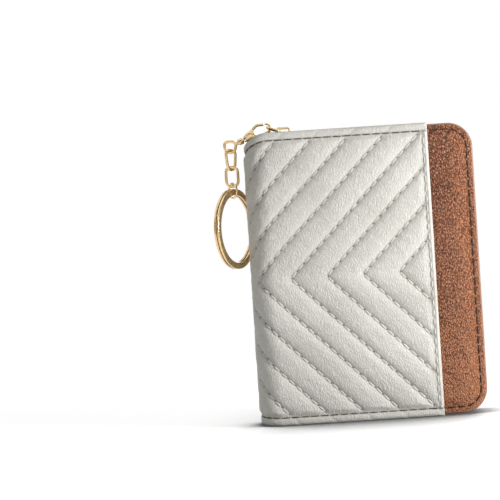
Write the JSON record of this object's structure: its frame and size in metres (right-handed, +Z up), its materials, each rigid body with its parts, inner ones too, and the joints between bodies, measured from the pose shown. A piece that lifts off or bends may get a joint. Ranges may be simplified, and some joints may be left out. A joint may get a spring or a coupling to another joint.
{
  "type": "card wallet",
  "caption": "Zip-around accordion card wallet with a chevron-quilted wrap, a contrast strip, a lobster clasp, a short chain and a split key ring.",
  "frame": {"origin": "under the middle of the bounding box, on the surface the wallet stands on", "axes": "+Z up along the spine, -X out of the spine, +X out of the zipped opening, -Y out of the front cover"},
  "size_m": [0.0968, 0.0274, 0.112],
  "materials": {
    "white_leather": "soft pebbled leather, off-white, quilted",
    "tan_leather": "smooth grained leather, cognac tan",
    "black_lining": "black woven lining",
    "gold_metal": "polished pale gold plating"
  },
  "bodies": {
    "spine": {"spine_cover": "white_leather", "spine_panel": "tan_leather", "spine_lining": "black_lining", "pocket_base": "black_lining", "upper_gusset": "black_lining", "lower_gusset": "black_lining"},
    "front_cover": {"front_panel": "tan_leather", "front_quilt": "white_leather", "front_lining": "black_lining", "front_slip_pocket": "black_lining", "front_zip_band": "tan_leather", "front_zip_tape": "black_lining", "front_zip_teeth": "gold_metal"},
    "back_cover": {"back_panel": "tan_leather", "back_quilt": "white_leather", "back_lining": "black_lining", "back_slip_pocket": "black_lining", "back_zip_band": "tan_leather", "back_zip_tape": "black_lining", "back_zip_teeth": "gold_metal"},
    "leaf_01": {"pocket_leaf_01": "black_lining"},
    "leaf_02": {"pocket_leaf_02": "black_lining"},
    "leaf_03": {"pocket_leaf_03": "black_lining"},
    "leaf_04": {"pocket_leaf_04": "black_lining"},
    "leaf_05": {"pocket_leaf_05": "black_lining"},
    "leaf_06": {"pocket_leaf_06": "black_lining"},
    "leaf_07": {"pocket_leaf_07": "black_lining"},
    "leaf_08": {"pocket_leaf_08": "black_lining"},
    "leaf_09": {"pocket_leaf_09": "black_lining"},
    "leaf_10": {"pocket_leaf_10": "black_lining"},
    "slider": {"slider_body": "gold_metal", "slider_inner_plate": "gold_metal"},
    "bail": {"slider_bail": "gold_metal"},
    "clasp": {"clasp_body": "gold_metal"},
    "gate": {"clasp_gate": "gold_metal"},
    "swivel": {"clasp_swivel": "gold_metal"},
    "link_1": {"chain_link_1": "gold_metal"},
    "link_2": {"chain_link_2": "gold_metal"},
    "jump": {"jump_ring": "gold_metal"},
    "ring": {"key_ring": "gold_metal"}
  },
  "joints": [
    {"name": "front_open", "type": "hinge", "parent": "spine", "child": "front_cover", "pos_m": [-0.0266, -0.012, 0.054], "axis": [0, 0, -1], "range_deg": [0, 45], "deforming": ["upper_gusset", "lower_gusset"]},
    {"name": "back_open", "type": "hinge", "parent": "spine", "child": "back_cover", "pos_m": [-0.0266, 0.012, 0.054], "axis": [0, 0, 1], "range_deg": [0, 45]},
    {"name": "leaf_01_fan", "type": "hinge", "parent": "spine", "child": "leaf_01", "pos_m": [-0.0266, -0.012, 0.054], "axis": [0, 0, -1], "range_deg": [0, 24.3]},
    {"name": "leaf_02_fan", "type": "hinge", "parent": "spine", "child": "leaf_02", "pos_m": [-0.0266, -0.012, 0.054], "axis": [0, 0, -1], "range_deg": [0, 18.9]},
    {"name": "leaf_03_fan", "type": "hinge", "parent": "spine", "child": "leaf_03", "pos_m": [-0.0266, -0.012, 0.054], "axis": [0, 0, -1], "range_deg": [0, 13.5]},
    {"name": "leaf_04_fan", "type": "hinge", "parent": "spine", "child": "leaf_04", "pos_m": [-0.0266, -0.012, 0.054], "axis": [0, 0, -1], "range_deg": [0, 8.1]},
    {"name": "leaf_05_fan", "type": "hinge", "parent": "spine", "child": "leaf_05", "pos_m": [-0.0266, -0.012, 0.054], "axis": [0, 0, -1], "range_deg": [0, 2.7]},
    {"name": "leaf_06_fan", "type": "hinge", "parent": "spine", "child": "leaf_06", "pos_m": [-0.0266, 0.012, 0.054], "axis": [0, 0, 1], "range_deg": [0, 2.7]},
    {"name": "leaf_07_fan", "type": "hinge", "parent": "spine", "child": "leaf_07", "pos_m": [-0.0266, 0.012, 0.054], "axis": [0, 0, 1], "range_deg": [0, 8.1]},
    {"name": "leaf_08_fan", "type": "hinge", "parent": "spine", "child": "leaf_08", "pos_m": [-0.0266, 0.012, 0.054], "axis": [0, 0, 1], "range_deg": [0, 13.5]},
    {"name": "leaf_09_fan", "type": "hinge", "parent": "spine", "child": "leaf_09", "pos_m": [-0.0266, 0.012, 0.054], "axis": [0, 0, 1], "range_deg": [0, 18.9]},
    {"name": "leaf_10_fan", "type": "hinge", "parent": "spine", "child": "leaf_10", "pos_m": [-0.0266, 0.012, 0.054], "axis": [0, 0, 1], "range_deg": [0, 24.3]},
    {"name": "zip_slide", "type": "slide", "parent": "spine", "child": "slider", "axis": [1, 0, 0], "range_m": [0, 0.027]},
    {"name": "bail_swing", "type": "hinge", "parent": "slider", "child": "bail", "pos_m": [-0.0216, 0, 0.10837], "axis": [0, 1, 0], "range_deg": [0, 115]},
    {"name": "clasp_sway", "type": "hinge", "parent": "bail", "child": "clasp", "pos_m": [-0.02618, 0, 0.11013], "axis": [0.3583, 0, 0.9336], "range_deg": [0, 15]},
    {"name": "gate_press", "type": "hinge", "parent": "clasp", "child": "gate", "pos_m": [-0.03202, 0, 0.10923], "axis": [0, 1, 0], "range_deg": [0, 18], "stiffness_Nm_per_rad": 0.0005},
    {"name": "swivel_turn", "type": "hinge", "parent": "clasp", "child": "swivel", "pos_m": [-0.03541, 0, 0.10602], "axis": [0.9135, 0, 0.4067], "range_deg": [0, 180]},
    {"name": "link_1_swing", "type": "hinge", "parent": "swivel", "child": "link_1", "pos_m": [-0.0404, 0, 0.10175], "axis": [1, 0, 0], "range_deg": [0, 50]},
    {"name": "link_2_swing", "type": "hinge", "parent": "link_1", "child": "link_2", "pos_m": [-0.0404, 0, 0.09525], "axis": [0.4695, 0.8829, 0], "range_deg": [0, 40]},
    {"name": "jump_ring_swing", "type": "hinge", "parent": "link_2", "child": "jump", "pos_m": [-0.0404, 0, 0.08915], "axis": [1, 0, 0], "range_deg": [0, 40]},
    {"name": "key_ring_swing", "type": "hinge", "parent": "jump", "child": "ring", "pos_m": [-0.0404, 0, 0.08715], "axis": [-0.5299, 0.848, 0], "range_deg": [0, 20]}
  ],
  "couplings": [
    {"joint": "back_open", "follows": "front_open", "ratio": 1},
    {"joint": "leaf_01_fan", "follows": "front_open", "ratio": 0.54},
    {"joint": "leaf_02_fan", "follows": "front_open", "ratio": 0.42},
    {"joint": "leaf_03_fan", "follows": "front_open", "ratio": 0.3},
    {"joint": "leaf_04_fan", "follows": "front_open", "ratio": 0.18},
    {"joint": "leaf_05_fan", "follows": "front_open", "ratio": 0.06},
    {"joint": "leaf_06_fan", "follows": "front_open", "ratio": 0.06},
    {"joint": "leaf_07_fan", "follows": "front_open", "ratio": 0.18},
    {"joint": "leaf_08_fan", "follows": "front_open", "ratio": 0.3},
    {"joint": "leaf_09_fan", "follows": "front_open", "ratio": 0.42},
    {"joint": "leaf_10_fan", "follows": "front_open", "ratio": 0.54},
    {"joint": "bail_swing", "follows": "zip_slide", "rad_per_m": 74.3}
  ]
}
